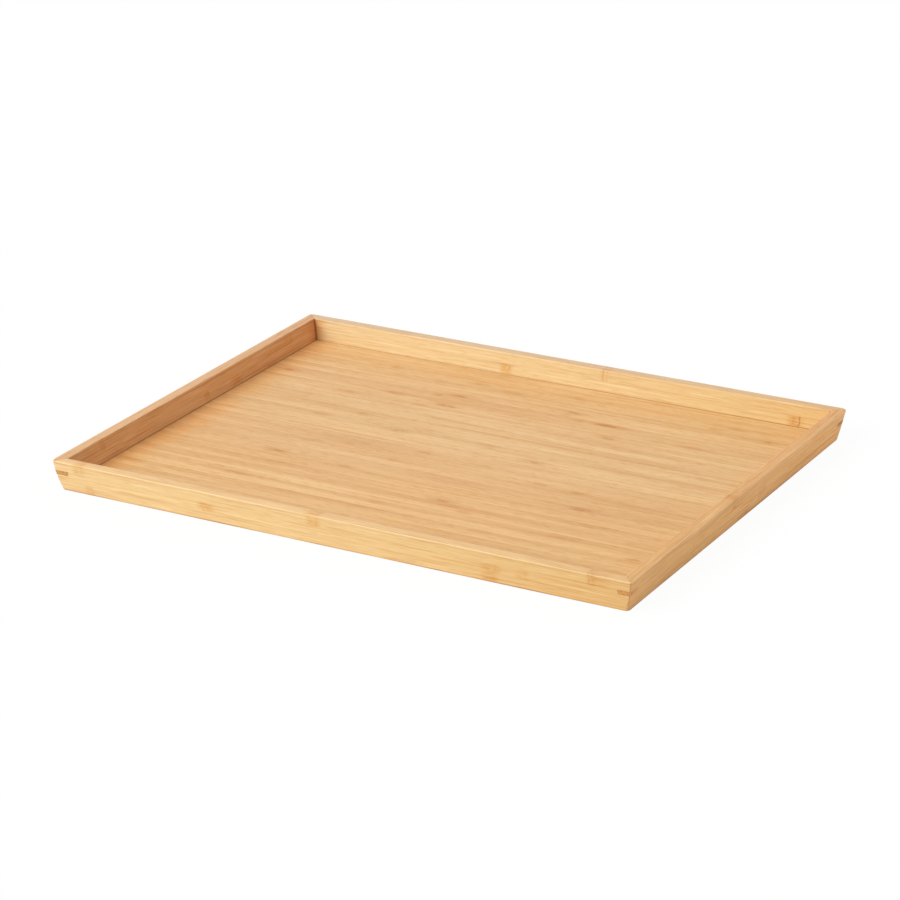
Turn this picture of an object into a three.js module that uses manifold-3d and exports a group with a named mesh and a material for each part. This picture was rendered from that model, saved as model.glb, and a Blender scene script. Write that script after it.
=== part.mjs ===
// A low serving tray of laminated bamboo.
// Four leaning rails, each glued up from three strips, are mitred together and locked by a
// dark key across every corner. A floor of edge-glued staves is tongued into a groove in the rails.
// Millimetres, +Z up. The origin is on the table, under the middle of the tray.

import * as THREE from 'three';
import { ConvexGeometry } from 'three/addons/geometries/ConvexGeometry.js';
import { mergeVertices } from 'three/addons/utils/BufferGeometryUtils.js';
import Module from 'manifold-3d';

const wasm = await Module();
wasm.setup();

// Overall size, measured at the rim
const trayLength = 480;
const trayWidth = 360;
const trayHeight = 24;

// Rails
const railThickness = 9;
const footInset = 4.8;
const bottomStripHeight = 8;
const middleStripHeight = 7.2;

// Eased edges: how far each one is cut back along the two faces that meet there
const rimOuterEase = 0.6;
const rimInnerEase = 0.7;
const footOuterEase = 0.4;
const footInnerEase = 0.4;
const cornerEase = 0.6;
const easeSegments = 6;

// Floor
const floorRise = 2;
const floorThickness = 5;
const tongueThickness = 3;
const grooveDepth = 4;
const staveCount = 27;

// Corner keys
const keyThickness = 3.6;
const keyLeg = 11;
const keyMiddleHeight = 14.6;

// Clearances
const glueLine = 0.3;
const floorSeam = 0.3;
const tongueSlack = 0.3;
const tongueEndGap = 0.5;

// How far a cutting shape reaches past the stock it cuts
const overshoot = 5;

// Heights of the glue planes, the floor and the keys
const bottomGluePlane = bottomStripHeight;
const topGluePlane = bottomStripHeight + middleStripHeight;
const floorTop = floorRise + floorThickness;
const tongueTop = floorRise + tongueThickness;
const grooveTop = tongueTop + tongueSlack;
const keyBottom = keyMiddleHeight - keyThickness / 2;
const keyTop = keyMiddleHeight + keyThickness / 2;

// Distances inwards from the rim's outer edge
const outerFaceAt = (height) => footInset * (1 - height / trayHeight);
const innerFaceAt = (height) => outerFaceAt(height) + railThickness;
const grooveWall = innerFaceAt(grooveTop) - grooveDepth;
const tongueEdge = grooveWall + tongueEndGap;
const shoulderAt = (height) => innerFaceAt(height) + floorSeam;
const keyDiagonal = keyLeg + 2 * outerFaceAt(keyMiddleHeight);

// Finishes
const railFinish = { color: 0xe9c08a, roughness: 0.48, metalness: 0 };
const floorFinish = { color: 0xe6b982, roughness: 0.45, metalness: 0 };
const keyFinish = { color: 0xc48a55, roughness: 0.5, metalness: 0 };

// A closed three.js geometry as a solid that can be cut
function solidOf(geometry) {
  const bare = geometry.clone();
  bare.deleteAttribute('normal');
  bare.deleteAttribute('uv');
  const welded = mergeVertices(bare);
  return new wasm.Manifold(new wasm.Mesh({
    numProp: 3,
    vertProperties: Float32Array.from(welded.attributes.position.array),
    triVerts: Uint32Array.from(welded.index.array),
  }));
}

// A cut solid as a three.js geometry again
function geometryOf(solid) {
  const mesh = solid.getMesh();
  const geometry = new THREE.BufferGeometry();
  geometry.setAttribute('position', new THREE.BufferAttribute(mesh.vertProperties, 3));
  geometry.setIndex(new THREE.BufferAttribute(mesh.triVerts, 1));
  geometry.computeVertexNormals();
  return geometry;
}

// A closed outline through [x, y, ease] corners, with a curve at each eased one
function easedOutline(corners) {
  const shape = new THREE.Shape();
  corners.forEach(([x, y, ease], index) => {
    const corner = new THREE.Vector2(x, y);
    const previous = new THREE.Vector2(...corners.at(index - 1));
    const next = new THREE.Vector2(...corners[(index + 1) % corners.length]);
    const entry = previous.sub(corner).setLength(ease).add(corner);
    const exit = next.sub(corner).setLength(ease).add(corner);
    if (index === 0) {
      shape.moveTo(entry.x, entry.y);
    } else {
      shape.lineTo(entry.x, entry.y);
    }
    if (ease > 0) {
      shape.quadraticCurveTo(x, y, exit.x, exit.y);
    }
  });
  shape.closePath();
  return shape;
}

// An outline in plan, raised from one height to another
function raised(outline, low, high) {
  const geometry = new THREE.ExtrudeGeometry(outline, { depth: high - low, bevelEnabled: false });
  return geometry.translate(0, 0, low);
}

// A section of [distance inwards, height], run along a rail's own length
function alongRail(section, length) {
  const options = { depth: length, bevelEnabled: false, curveSegments: easeSegments };
  const geometry = new THREE.ExtrudeGeometry(section, options);
  const inwards = new THREE.Vector3(0, 1, 0);
  const upwards = new THREE.Vector3(0, 0, 1);
  const lengthwise = new THREE.Vector3(1, 0, 0);
  geometry.applyMatrix4(new THREE.Matrix4().makeBasis(inwards, upwards, lengthwise));
  return geometry.translate(-length / 2, 0, 0);
}

// The same shape moved to either end of a rail. Corner shapes are drawn at the origin, with
// both outer faces running along the positive axes, and turn a quarter to fit the far end.
function atBothEnds(geometry, length) {
  const nearEnd = geometry.clone().translate(-length / 2, 0, 0);
  const farEnd = geometry.clone().rotateZ(Math.PI / 2).translate(length / 2, 0, 0);
  return [solidOf(nearEnd), solidOf(farEnd)];
}

// What is taken off a corner to ease its leaning outer edge
function cornerEaseCutter() {
  const points = [-overshoot, trayHeight + overshoot].flatMap((height) => {
    const face = outerFaceAt(height);
    return [
      new THREE.Vector3(face + cornerEase + overshoot, face - overshoot, height),
      new THREE.Vector3(face - overshoot, face + cornerEase + overshoot, height),
      new THREE.Vector3(face - overshoot, face - overshoot, height),
    ];
  });
  return new ConvexGeometry(points);
}

// The saw slot that takes a key, square to the table and open to both outer faces
function keySlotCutter() {
  const reach = keyDiagonal + glueLine * Math.SQRT2 + overshoot;
  const outline = easedOutline([
    [-overshoot, -overshoot, 0],
    [reach, -overshoot, 0],
    [-overshoot, reach, 0],
  ]);
  return raised(outline, keyBottom, keyTop);
}

// The stretch of a rail between its two mitres, seen from above
function mitrePlan(length) {
  const half = length / 2 - glueLine * Math.SQRT1_2;
  const depth = footInset + railThickness + overshoot;
  const outline = easedOutline([
    [-half - overshoot, -overshoot, 0],
    [half + overshoot, -overshoot, 0],
    [half - depth, depth, 0],
    [-half + depth, depth, 0],
  ]);
  return raised(outline, -overshoot, trayHeight + overshoot);
}

// The groove that houses the floor's tongue, open towards the middle of the tray
function grooveCutter(length) {
  const inside = innerFaceAt(0) + overshoot;
  const section = easedOutline([
    [grooveWall, floorRise, 0],
    [inside, floorRise, 0],
    [inside, grooveTop, 0],
    [grooveWall, grooveTop, 0],
  ]);
  return alongRail(section, length);
}

// The three strips of a rail, from the table up, each with the eases of its own edges
const railStrips = [
  { name: 'bottom_strip', low: 0, high: bottomGluePlane, eases: [footOuterEase, footInnerEase, 0, 0] },
  { name: 'middle_strip', low: bottomGluePlane, high: topGluePlane, eases: [0, 0, 0, 0] },
  { name: 'top_strip', low: topGluePlane, high: trayHeight, eases: [0, 0, rimInnerEase, rimOuterEase] },
];

function railStripGeometry(length, { low, high, eases }) {
  const section = easedOutline([
    [outerFaceAt(low), low, eases[0]],
    [innerFaceAt(low), low, eases[1]],
    [innerFaceAt(high), high, eases[2]],
    [outerFaceAt(high), high, eases[3]],
  ]);
  const cutters = [
    solidOf(grooveCutter(length)),
    ...atBothEnds(keySlotCutter(), length),
    ...atBothEnds(cornerEaseCutter(), length),
  ];
  const mitred = solidOf(alongRail(section, length)).intersect(solidOf(mitrePlan(length)));
  return geometryOf(cutters.reduce((strip, cutter) => strip.subtract(cutter), mitred));
}

// A key, its two outer faces flush with the leaning rails
function keyGeometry() {
  const points = [keyBottom, keyTop].flatMap((height) => {
    const face = outerFaceAt(height);
    return [
      new THREE.Vector3(face, face, height),
      new THREE.Vector3(keyDiagonal - face, face, height),
      new THREE.Vector3(face, keyDiagonal - face, height),
    ];
  });
  const key = solidOf(new ConvexGeometry(points));
  return geometryOf(key.subtract(solidOf(cornerEaseCutter())));
}

function piece(name, geometry, finish) {
  const mesh = new THREE.Mesh(geometry, new THREE.MeshStandardMaterial(finish));
  mesh.name = name;
  return mesh;
}

const tray = new THREE.Group();
tray.name = 'bamboo_tray';

// Rails: drawn along X with their outer edge on the X axis, then turned to their own side
const halfLength = trayLength / 2;
const halfWidth = trayWidth / 2;
const quarterTurn = Math.PI / 2;
const rails = [
  { name: 'front_rail', length: trayLength, x: 0, y: -halfWidth, turn: 0 },
  { name: 'right_rail', length: trayWidth, x: halfLength, y: 0, turn: quarterTurn },
  { name: 'back_rail', length: trayLength, x: 0, y: halfWidth, turn: 2 * quarterTurn },
  { name: 'left_rail', length: trayWidth, x: -halfLength, y: 0, turn: 3 * quarterTurn },
];
for (const rail of rails) {
  const group = new THREE.Group();
  group.name = rail.name;
  group.position.set(rail.x, rail.y, 0);
  group.rotation.z = rail.turn;
  for (const strip of railStrips) {
    const geometry = railStripGeometry(rail.length, strip);
    group.add(piece(`${rail.name}_${strip.name}`, geometry, railFinish));
  }
  tray.add(group);
}

// Keys: one across each mitre
const corners = [
  { name: 'front_left', x: -halfLength, y: -halfWidth, turn: 0 },
  { name: 'front_right', x: halfLength, y: -halfWidth, turn: quarterTurn },
  { name: 'back_right', x: halfLength, y: halfWidth, turn: 2 * quarterTurn },
  { name: 'back_left', x: -halfLength, y: halfWidth, turn: 3 * quarterTurn },
];
for (const corner of corners) {
  const key = piece(`corner_key_${corner.name}`, keyGeometry(), keyFinish);
  key.position.set(corner.x, corner.y, 0);
  key.rotation.z = corner.turn;
  tray.add(key);
}

// Floor: staves side by side from front to back, each a glued pair of narrow strips.
// The underside runs on as a tongue into the groove. Above it, shoulders lean with the rails.
const tongueHalfLength = halfLength - tongueEdge;
const tongueHalfWidth = halfWidth - tongueEdge;
const staveEdgeAt = (index) => -tongueHalfWidth + (2 * tongueHalfWidth * index) / staveCount;

function betweenShoulders() {
  const points = [floorRise, floorTop].flatMap((height) => {
    const x = halfLength - shoulderAt(height);
    const y = halfWidth - shoulderAt(height);
    return [
      new THREE.Vector3(-x, -y, height),
      new THREE.Vector3(x, -y, height),
      new THREE.Vector3(x, y, height),
      new THREE.Vector3(-x, y, height),
    ];
  });
  return new ConvexGeometry(points);
}

function staveGeometry(index) {
  const outline = easedOutline([
    [-tongueHalfLength, staveEdgeAt(index), 0],
    [tongueHalfLength, staveEdgeAt(index), 0],
    [tongueHalfLength, staveEdgeAt(index + 1), 0],
    [-tongueHalfLength, staveEdgeAt(index + 1), 0],
  ]);
  const body = solidOf(raised(outline, floorRise, floorTop)).intersect(solidOf(betweenShoulders()));
  const tongue = solidOf(raised(outline, floorRise, tongueTop));
  return geometryOf(body.add(tongue));
}

for (let index = 0; index < staveCount; index += 1) {
  const number = String(index + 1).padStart(2, '0');
  tray.add(piece(`floor_stave_${number}`, staveGeometry(index), floorFinish));
}

export default tray;
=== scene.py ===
import math

import bmesh
import bpy
from mathutils import Matrix, Vector


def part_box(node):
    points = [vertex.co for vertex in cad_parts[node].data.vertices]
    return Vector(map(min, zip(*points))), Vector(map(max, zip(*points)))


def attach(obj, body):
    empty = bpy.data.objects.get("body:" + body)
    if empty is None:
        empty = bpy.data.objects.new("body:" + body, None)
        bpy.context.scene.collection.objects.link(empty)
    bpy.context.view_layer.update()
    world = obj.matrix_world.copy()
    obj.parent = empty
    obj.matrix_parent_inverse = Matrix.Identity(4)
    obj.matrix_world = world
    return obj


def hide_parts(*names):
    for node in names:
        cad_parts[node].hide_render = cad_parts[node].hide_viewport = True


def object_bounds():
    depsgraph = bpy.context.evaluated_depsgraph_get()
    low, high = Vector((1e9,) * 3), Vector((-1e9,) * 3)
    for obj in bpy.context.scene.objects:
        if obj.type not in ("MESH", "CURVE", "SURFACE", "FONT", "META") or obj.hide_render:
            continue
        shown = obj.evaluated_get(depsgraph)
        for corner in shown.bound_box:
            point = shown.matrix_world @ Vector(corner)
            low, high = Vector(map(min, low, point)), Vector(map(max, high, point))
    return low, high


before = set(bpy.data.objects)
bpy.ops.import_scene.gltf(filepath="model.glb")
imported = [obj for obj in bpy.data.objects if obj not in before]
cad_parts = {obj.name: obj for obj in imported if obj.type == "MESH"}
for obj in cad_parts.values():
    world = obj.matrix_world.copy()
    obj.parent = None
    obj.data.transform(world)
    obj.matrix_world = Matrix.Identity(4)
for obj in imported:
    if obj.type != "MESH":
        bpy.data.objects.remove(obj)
cadLow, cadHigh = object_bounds()
print("frame loaded:", len(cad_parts), "nodes")

mm = 0.001
halfLength = 240 * mm  # to the rim's outer edge, before it is eased
halfWidth = 180 * mm
trayHeight = cadHigh.z
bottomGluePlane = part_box("front_rail_bottom_strip")[1].z
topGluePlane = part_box("front_rail_top_strip")[0].z
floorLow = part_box("floor_stave_01")[0]  # the floor's tongues are its widest part
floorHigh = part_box("floor_stave_27")[1]
keyLow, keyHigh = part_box("corner_key_front_left")
keyMiddle = (keyLow.z + keyHigh.z) / 2

drawing = {}  # the node tree that is being drawn, which all helpers below add to


# Feeds a socket from another node's output, or sets its value; colours are given without alpha
def feed(socket, value):
    if isinstance(value, bpy.types.NodeSocket):
        drawing["tree"].links.new(value, socket)
    else:
        socket.default_value = (*value, 1) if socket.type == "RGBA" else value


def addNode(kind, feeds=None, **settings):
    node = drawing["tree"].nodes.new(kind)
    for name, value in settings.items():
        setattr(node, name, value)
    for key, value in (feeds or {}).items():
        feed(node.inputs[key], value)
    return node


def calc(operation, *values, clamp=False):
    feeds = dict(enumerate(values))
    return addNode("ShaderNodeMath", feeds, operation=operation, use_clamp=clamp).outputs[0]


def vectorCalc(operation, *values):
    return addNode("ShaderNodeVectorMath", dict(enumerate(values)), operation=operation).outputs[0]


def product(first, *others):
    for value in others:
        first = calc("MULTIPLY", first, value)
    return first


def inverse(value):
    return calc("SUBTRACT", 1.0, value)


def awayFrom(value, target):
    return calc("ABSOLUTE", calc("SUBTRACT", value, target))


# How far a value lies inside a limit on either side of zero
def within(limit, value):
    return calc("SUBTRACT", limit, calc("ABSOLUTE", value))


def remap(value, fromLow, fromHigh, toLow=0.0, toHigh=1.0):
    feeds = {0: value, 1: fromLow, 2: fromHigh, 3: toLow, 4: toHigh}
    return addNode("ShaderNodeMapRange", feeds, interpolation_type="SMOOTHSTEP").outputs[0]


def mixValue(factor, first, second):
    feeds = {0: factor, 2: first, 3: second}
    return addNode("ShaderNodeMix", feeds, data_type="FLOAT").outputs[0]


def mixColour(factor, first, second, mode="MIX"):
    feeds = {0: factor, 6: first, 7: second}
    return addNode("ShaderNodeMix", feeds, data_type="RGBA", blend_type=mode).outputs[2]


# A colour times a tint, as far as the share goes
def tinted(share, colour, tint):
    return mixColour(share, colour, mixColour(1.0, colour, tint, "MULTIPLY"))


def xyz(x, y, z):
    return addNode("ShaderNodeCombineXYZ", {0: x, 1: y, 2: z}).outputs[0]


def parts(vector):
    return addNode("ShaderNodeSeparateXYZ", {0: vector}).outputs


def noise(point, scale, detail):
    scaled = vectorCalc("MULTIPLY", point, scale)
    feeds = {"Vector": scaled, "Scale": 1.0, "Detail": detail}
    return addNode("ShaderNodeTexNoise", feeds).outputs[0]


# How far a point lies from the middle of an oval, where 1 is its edge
def ovalReach(u, v):
    feeds = {0: xyz(u, v, 0.0)}
    return addNode("ShaderNodeVectorMath", feeds, operation="LENGTH").outputs["Value"]


def newGroup(name, kind, inputs, outputs):
    tree = drawing["tree"] = bpy.data.node_groups.new(name, kind)
    for side, sockets in (("INPUT", inputs), ("OUTPUT", outputs)):
        for label, socketType in sockets.items():
            tree.interface.new_socket(label, in_out=side, socket_type="NodeSocket" + socketType)
    return tree, addNode("NodeGroupInput").outputs, addNode("NodeGroupOutput").inputs


def placeGroup(group, feeds):
    return addNode("ShaderNodeGroup", feeds, node_tree=group).outputs


# The grain of every bamboo finish: pale and deep streaks, and fine fibres
grainForm = {
    "shiftSteps": (3.1, 0.77, 0.53),  # how far one step of Shift moves the pattern on each axis
    "roughness": 0.55,
    "distortion": 0.25,
    # Range of the noise over which each comes up
    "pale": (0.5, 0.72),
    "deep": (0.5, 0.74),
    "fibre": (0.46, 0.7),
}


def makeBambooGrain():
    tree, given, result = newGroup("bambooGrain", "ShaderNodeTree", {
        "Vector": "Vector",
        "Shift": "Float",
        "Body": "Color",
        "Pale": "Color",
        "Deep": "Color",
        "Streak Depth": "Float",
        "Streak Width": "Float",
        "Streak Length": "Float",
        "Fibre Width": "Float",
        "Fibre Length": "Float",
        "Fibre Depth": "Float",
    }, {"Colour": "Color", "Relief": "Float"})
    shift = xyz(*[product(given["Shift"], step) for step in grainForm["shiftSteps"]])
    point = vectorCalc("ADD", given["Vector"], shift)

    def stretched(kind, detail, offset):
        across = calc("DIVIDE", 1.0, given[f"{kind} Width"])
        along = calc("DIVIDE", 1.0, given[f"{kind} Length"])
        moved = vectorCalc("ADD", point, (offset, offset, offset))
        return addNode("ShaderNodeTexNoise", {
            "Vector": vectorCalc("MULTIPLY", moved, xyz(along, across, across)),
            "Scale": 1.0,
            "Detail": detail,
            "Roughness": grainForm["roughness"],
            "Distortion": grainForm["distortion"],
        }).outputs[0]

    paleMask = remap(stretched("Streak", 3.0, 0.0), *grainForm["pale"])
    deepMask = remap(stretched("Streak", 2.0, 1.7), *grainForm["deep"])
    fibreMask = remap(stretched("Fibre", 2.0, 0.9), *grainForm["fibre"])
    colour = mixColour(product(paleMask, given["Streak Depth"]), given["Body"], given["Pale"])
    colour = mixColour(product(deepMask, given["Streak Depth"]), colour, given["Deep"])
    colour = mixColour(product(fibreMask, given["Fibre Depth"]), colour, given["Deep"])
    feed(result["Colour"], colour)
    feed(result["Relief"], inverse(fibreMask))
    return tree


# A node of the culm where it crosses a strip: a soft warm patch, a thin ridge line and fading threads
nodeForm = {
    "bend": 2.4 * mm,  # how far the node wavers
    "bendScale": (60.0, 190.0, 190.0),
    "patchReach": (1.5, 0.4),  # in half lengths
    "patchScale": (110.0, 480.0, 480.0),
    "ridgeReach": (0.9 * mm, 0.1 * mm),
    "ridgePlaces": ((0.5, 1.0), (-0.35, 0.35)),  # in half lengths towards the ridge's side, and depth
    "ridgeScale": (90.0, 330.0, 330.0),
    "threadScale": (14.0, 600.0, 600.0),
    "threadDepth": 0.4,
}


def makeNodePatch():
    tree, given, result = newGroup("nodePatch", "ShaderNodeTree", {
        "Vector": "Vector",
        "Centre": "Float",
        "Half Length": "Float",
        "Patch Depth": "Float",
        "Ridge Depth": "Float",
        "Ridge Side": "Float",
        "Tail": "Float",
    }, {"Patch": "Float", "Ridge": "Float"})
    point = given["Vector"]
    along = parts(point)[0]
    bend = noise(point, nodeForm["bendScale"], 1.0)
    bend = calc("MULTIPLY_ADD", bend, nodeForm["bend"], -nodeForm["bend"] / 2)
    offset = calc("ADD", calc("SUBTRACT", along, given["Centre"]), bend)
    distance = calc("ABSOLUTE", offset)
    reach = calc("DIVIDE", distance, given["Half Length"])
    uneven = remap(noise(point, nodeForm["patchScale"], 2.0), 0.35, 0.62, 0.25, 1.0)
    feed(result["Patch"], product(remap(reach, *nodeForm["patchReach"]), uneven, given["Patch Depth"]))
    ridgeReach = product(given["Half Length"], given["Ridge Side"])
    lines = []
    for place, depth in nodeForm["ridgePlaces"]:
        fromRidge = calc("ABSOLUTE", calc("MULTIPLY_ADD", ridgeReach, -place, offset))
        lines.append(remap(fromRidge, *nodeForm["ridgeReach"], 0.0, depth))
    broken = remap(noise(point, nodeForm["ridgeScale"], 1.0), 0.35, 0.6)
    ridge = product(calc("MAXIMUM", *lines), broken, given["Ridge Depth"])
    fade = remap(distance, calc("ADD", given["Half Length"], given["Tail"]), 0.0)
    thread = remap(noise(point, nodeForm["threadScale"], 1.0), 0.55, 0.75, 0.0, nodeForm["threadDepth"])
    thread = product(fade, thread, given["Patch Depth"])
    feed(result["Ridge"], calc("MAXIMUM", ridge, thread))
    return tree


bambooGrain = makeBambooGrain()
nodePatch = makeNodePatch()


# The grain in a look's own colours and sizes, as a colour and a relief
def layGrain(look, point, shift, tone=1.0, **more):
    keys = ("body", "pale", "deep")
    colours = {key.title(): tuple(channel * tone for channel in look[key]) for key in keys}
    return placeGroup(bambooGrain, {"Vector": point, "Shift": shift, **colours, **look["grain"], **more})


def blankMaterial(name):
    material = bpy.data.materials.new(name)
    material.use_nodes = True
    drawing["tree"] = material.node_tree
    drawing["tree"].nodes.clear()
    return material


def startMaterial(name):
    return blankMaterial(name), addNode("ShaderNodeTexCoord").outputs["Object"]


# Satin lacquer over the grain: the relief drives the bump and the roughness
lacquer = {
    "bump": 0.25,
    "bumpHeight": 0.06 * mm,
    "roughnessSpread": (0.08, -0.04),  # in the fibres, and between them
    "ior": 1.5,
}


def finishMaterial(colour, relief, finish):
    roughness, glossLevel = finish
    feeds = {"Strength": lacquer["bump"], "Distance": lacquer["bumpHeight"], "Height": relief}
    bump = addNode("ShaderNodeBump", feeds)
    rough, smooth = (roughness + spread for spread in lacquer["roughnessSpread"])
    shader = addNode("ShaderNodeBsdfPrincipled", {
        "Base Color": colour,
        "Roughness": remap(relief, 0.0, 1.0, rough, smooth),
        "IOR": lacquer["ior"],
        "Specular IOR Level": glossLevel,
        "Normal": bump.outputs[0],
    })
    addNode("ShaderNodeOutputMaterial", {"Surface": shader.outputs[0]})


print("bamboo effects ready")


# Rails: distances run inwards from the rim's outer edge
railSection = {
    "thickness": 9.0 * mm,
    "footInset": 4.8 * mm,  # how far the foot stands inside the rim
    "rimOuterEase": 0.6 * mm,
    "rimInnerEase": 0.7 * mm,
    "footOuterEase": 0.4 * mm,
    "footInnerEase": 0.4 * mm,
    "glueEase": 0.06 * mm,  # hairline chamfer where two strips meet
    "easeSteps": 8,
    "cornerRadius": 1.3 * mm,
    "cornerSteps": 6,
    # How far the corner points are sanded back, at the foot and at each corner of the rim
    "footSanding": 1.3 * mm,
    "rimSanding": {
        "front_left": 2.2 * mm,
        "front_right": 0.7 * mm,
        "back_right": 1.5 * mm,
        "back_left": 1.4 * mm,
    },
    "mitreGap": 0.06 * mm,
    "grooveDepth": 4.0 * mm,
    "grooveTop": 5.3 * mm,
    # Extra loops beside each eased edge and near the ends keep the flats flat
    "edgeHold": 0.3 * mm,
    "endHolds": (0.3 * mm, 1.5 * mm, 5.0 * mm),
    "weld": 0.001 * mm,
}
sharpAngle = math.radians(28)


def outerFace(height):
    return railSection["footInset"] * (1 - height / trayHeight)


def innerFace(height):
    return outerFace(height) + railSection["thickness"]


def easedSection(corners):
    points = []
    for index, (inwards, height, ease) in enumerate(corners):
        corner = Vector((inwards, height))
        before = (Vector(corners[index - 1][:2]) - corner).normalized()
        after = (Vector(corners[(index + 1) % len(corners)][:2]) - corner).normalized()
        if ease == 0:
            points.append(corner)
            continue
        fine = ease > railSection["edgeHold"]
        steps = railSection["easeSteps"] if fine else 1
        if fine:
            points.append(corner + before * (ease + railSection["edgeHold"]))
        for step in range(steps + 1):
            share = step / steps
            entry = (corner + before * ease) * (1 - share) ** 2
            leave = (corner + after * ease) * share ** 2
            points.append(entry + corner * (2 * share * (1 - share)) + leave)
        if fine:
            points.append(corner + after * (ease + railSection["edgeHold"]))
    return points


def stripSection(low, high):
    foot = low == 0
    rim = high == trayHeight
    glue = railSection["glueEase"]
    corners = [
        (outerFace(low), low, railSection["footOuterEase"] if foot else glue),
        (innerFace(low), low, railSection["footInnerEase"] if foot else glue),
        (innerFace(high), high, railSection["rimInnerEase"] if rim else glue),
        (outerFace(high), high, railSection["rimOuterEase"] if rim else glue),
    ]
    if foot:
        top = railSection["grooveTop"]
        wall = innerFace(top) - railSection["grooveDepth"]
        corners[2:2] = [
            (innerFace(floorLow.z), floorLow.z, 0),
            (wall, floorLow.z, 0),
            (wall, top, 0),
            (innerFace(top), top, 0),
        ]
    return easedSection(corners)


# One ring of a strip near its end, turned from the mitre (45 degrees) to the straight run (0)
def cornerRing(section, angle, hold):
    radius = railSection["cornerRadius"]
    ring = []
    for inwards, height in section:
        face = outerFace(height)
        depth = inwards - face
        centre = face + max(depth, radius)
        swing = max(radius - depth, 0)
        fromEnd = centre - swing * math.sin(angle) + hold + railSection["mitreGap"]
        ring.append((fromEnd, centre - swing * math.cos(angle), height))
    return ring


# Takes the points off a corner, at the foot and at the rim, where three faces meet
def sandedTip(spot, length, rimSanding):
    for height, up, sanding in ((0, -1, railSection["footSanding"]), (trayHeight, 1, rimSanding)):
        face = outerFace(height)
        outwards = Vector((math.copysign(1, spot.x), -1, up)).normalized()
        tip = Vector((math.copysign(length / 2 - face, spot.x), face, height))
        above = outwards.dot(spot - tip) + sanding
        spot = spot - outwards * max(above, 0)
    return spot


def newPiece(name, build, material=None):
    mesh = bpy.data.meshes.new(name)
    build.to_mesh(mesh)
    build.free()
    if material:
        mesh.materials.append(material)
    piece = bpy.data.objects.new(name, mesh)
    bpy.context.scene.collection.objects.link(piece)
    return piece


# Walls between two rings that lie one over the other, and a face on each
def closeRings(build, low, high):
    build.faces.new(list(reversed(low)))
    build.faces.new(high)
    for index in range(len(low)):
        build.faces.new((low[index - 1], low[index], high[index], high[index - 1]))


# Applies what modifiers a piece has, so that its mesh is final
def settle(piece):
    depsgraph = bpy.context.evaluated_depsgraph_get()
    mesh = bpy.data.meshes.new_from_object(piece.evaluated_get(depsgraph))
    piece.modifiers.clear()
    old = piece.data
    piece.data = mesh
    bpy.data.meshes.remove(old)
    mesh.name = piece.name


def smoothEased(piece):
    piece.data.shade_smooth()
    piece.data.set_sharp_from_angle(angle=sharpAngle)


def railStrip(name, section, length, place, corners, material):
    build = bmesh.new()
    steps = railSection["cornerSteps"]
    turns = [(math.radians(45) * (1 - step / steps), 0) for step in range(steps + 1)]
    turns += [(0, hold) for hold in railSection["endHolds"]]
    nearEnd = [(-1, turn) for turn in turns]
    farEnd = [(1, turn) for turn in reversed(turns)]
    rings = []
    for side, (angle, hold) in nearEnd + farEnd:
        ring = cornerRing(section, angle, hold)
        spots = [Vector((side * (length / 2 - along), inwards, height)) for along, inwards, height in ring]
        sanding = railSection["rimSanding"][corners[0] if side < 0 else corners[1]]
        rings.append([build.verts.new(sandedTip(spot, length, sanding)) for spot in spots])
    for ring, following in zip(rings, rings[1:]):
        for index in range(len(ring)):
            build.faces.new((ring[index - 1], ring[index], following[index], following[index - 1]))
    build.faces.new(rings[0])
    build.faces.new(rings[-1])
    bmesh.ops.remove_doubles(build, verts=build.verts, dist=railSection["weld"])
    bmesh.ops.recalc_face_normals(build, faces=build.faces)
    bmesh.ops.transform(build, matrix=place, verts=build.verts)
    return newPiece(name, build, material)


def placed(x, y, turn):
    return Matrix.Translation((x, y, 0)) @ Matrix.Rotation(turn, 4, "Z")


# Corners, named as seen from above, with the turn that lays both rails along the positive axes
cornerPlaces = {
    "front_left": placed(-halfLength, -halfWidth, 0),
    "front_right": placed(halfLength, -halfWidth, math.pi / 2),
    "back_right": placed(halfLength, halfWidth, math.pi),
    "back_left": placed(-halfLength, halfWidth, -math.pi / 2),
}

cornerKey = {
    # How far each key shows along its two rails at middle height, counted round the tray against the clock
    "legs": {
        "front_left": (11.8 * mm, 11.0 * mm),
        "front_right": (11.0 * mm, 9.6 * mm),
        "back_right": (11.0 * mm, 11.0 * mm),
        "back_left": (11.0 * mm, 11.0 * mm),
    },
    "gap": 0.03 * mm,
    "gapAlongRail": 1.5,  # what a gap square to the long side becomes along a rail
    "slotSpare": 5.0 * mm,  # how far the cutter reaches past the rails
    "ease": 0.05 * mm,
    "easeAngle": math.radians(40),
    "body": (0.58, 0.29, 0.094),
    "pale": (0.66, 0.35, 0.14),
    "deep": (0.38, 0.155, 0.05),
    "edge": (0.30, 0.12, 0.04),  # glue shows dark along the slot
    "edgeReach": 0.7 * mm,
    "edgeDepth": 0.45,
    "finish": (0.6, 0.1),  # roughness and gloss
    "grain": {
        "Streak Depth": 0.9,
        "Streak Width": 1.5 * mm,
        "Streak Length": 20 * mm,
        "Fibre Width": 0.5 * mm,
        "Fibre Length": 8 * mm,
        "Fibre Depth": 0.5,
    },
}


# Where the key's long side crosses the two lines that lie a distance inside the rim's edges
def keyEnds(corner, inwards, gap=0):
    first, second = (leg + cornerKey["gapAlongRail"] * gap for leg in cornerKey["legs"][corner])
    middleFace = outerFace(keyMiddle)
    past = inwards - middleFace
    return middleFace + first - past * first / second, middleFace + second - past * second / first


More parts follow.
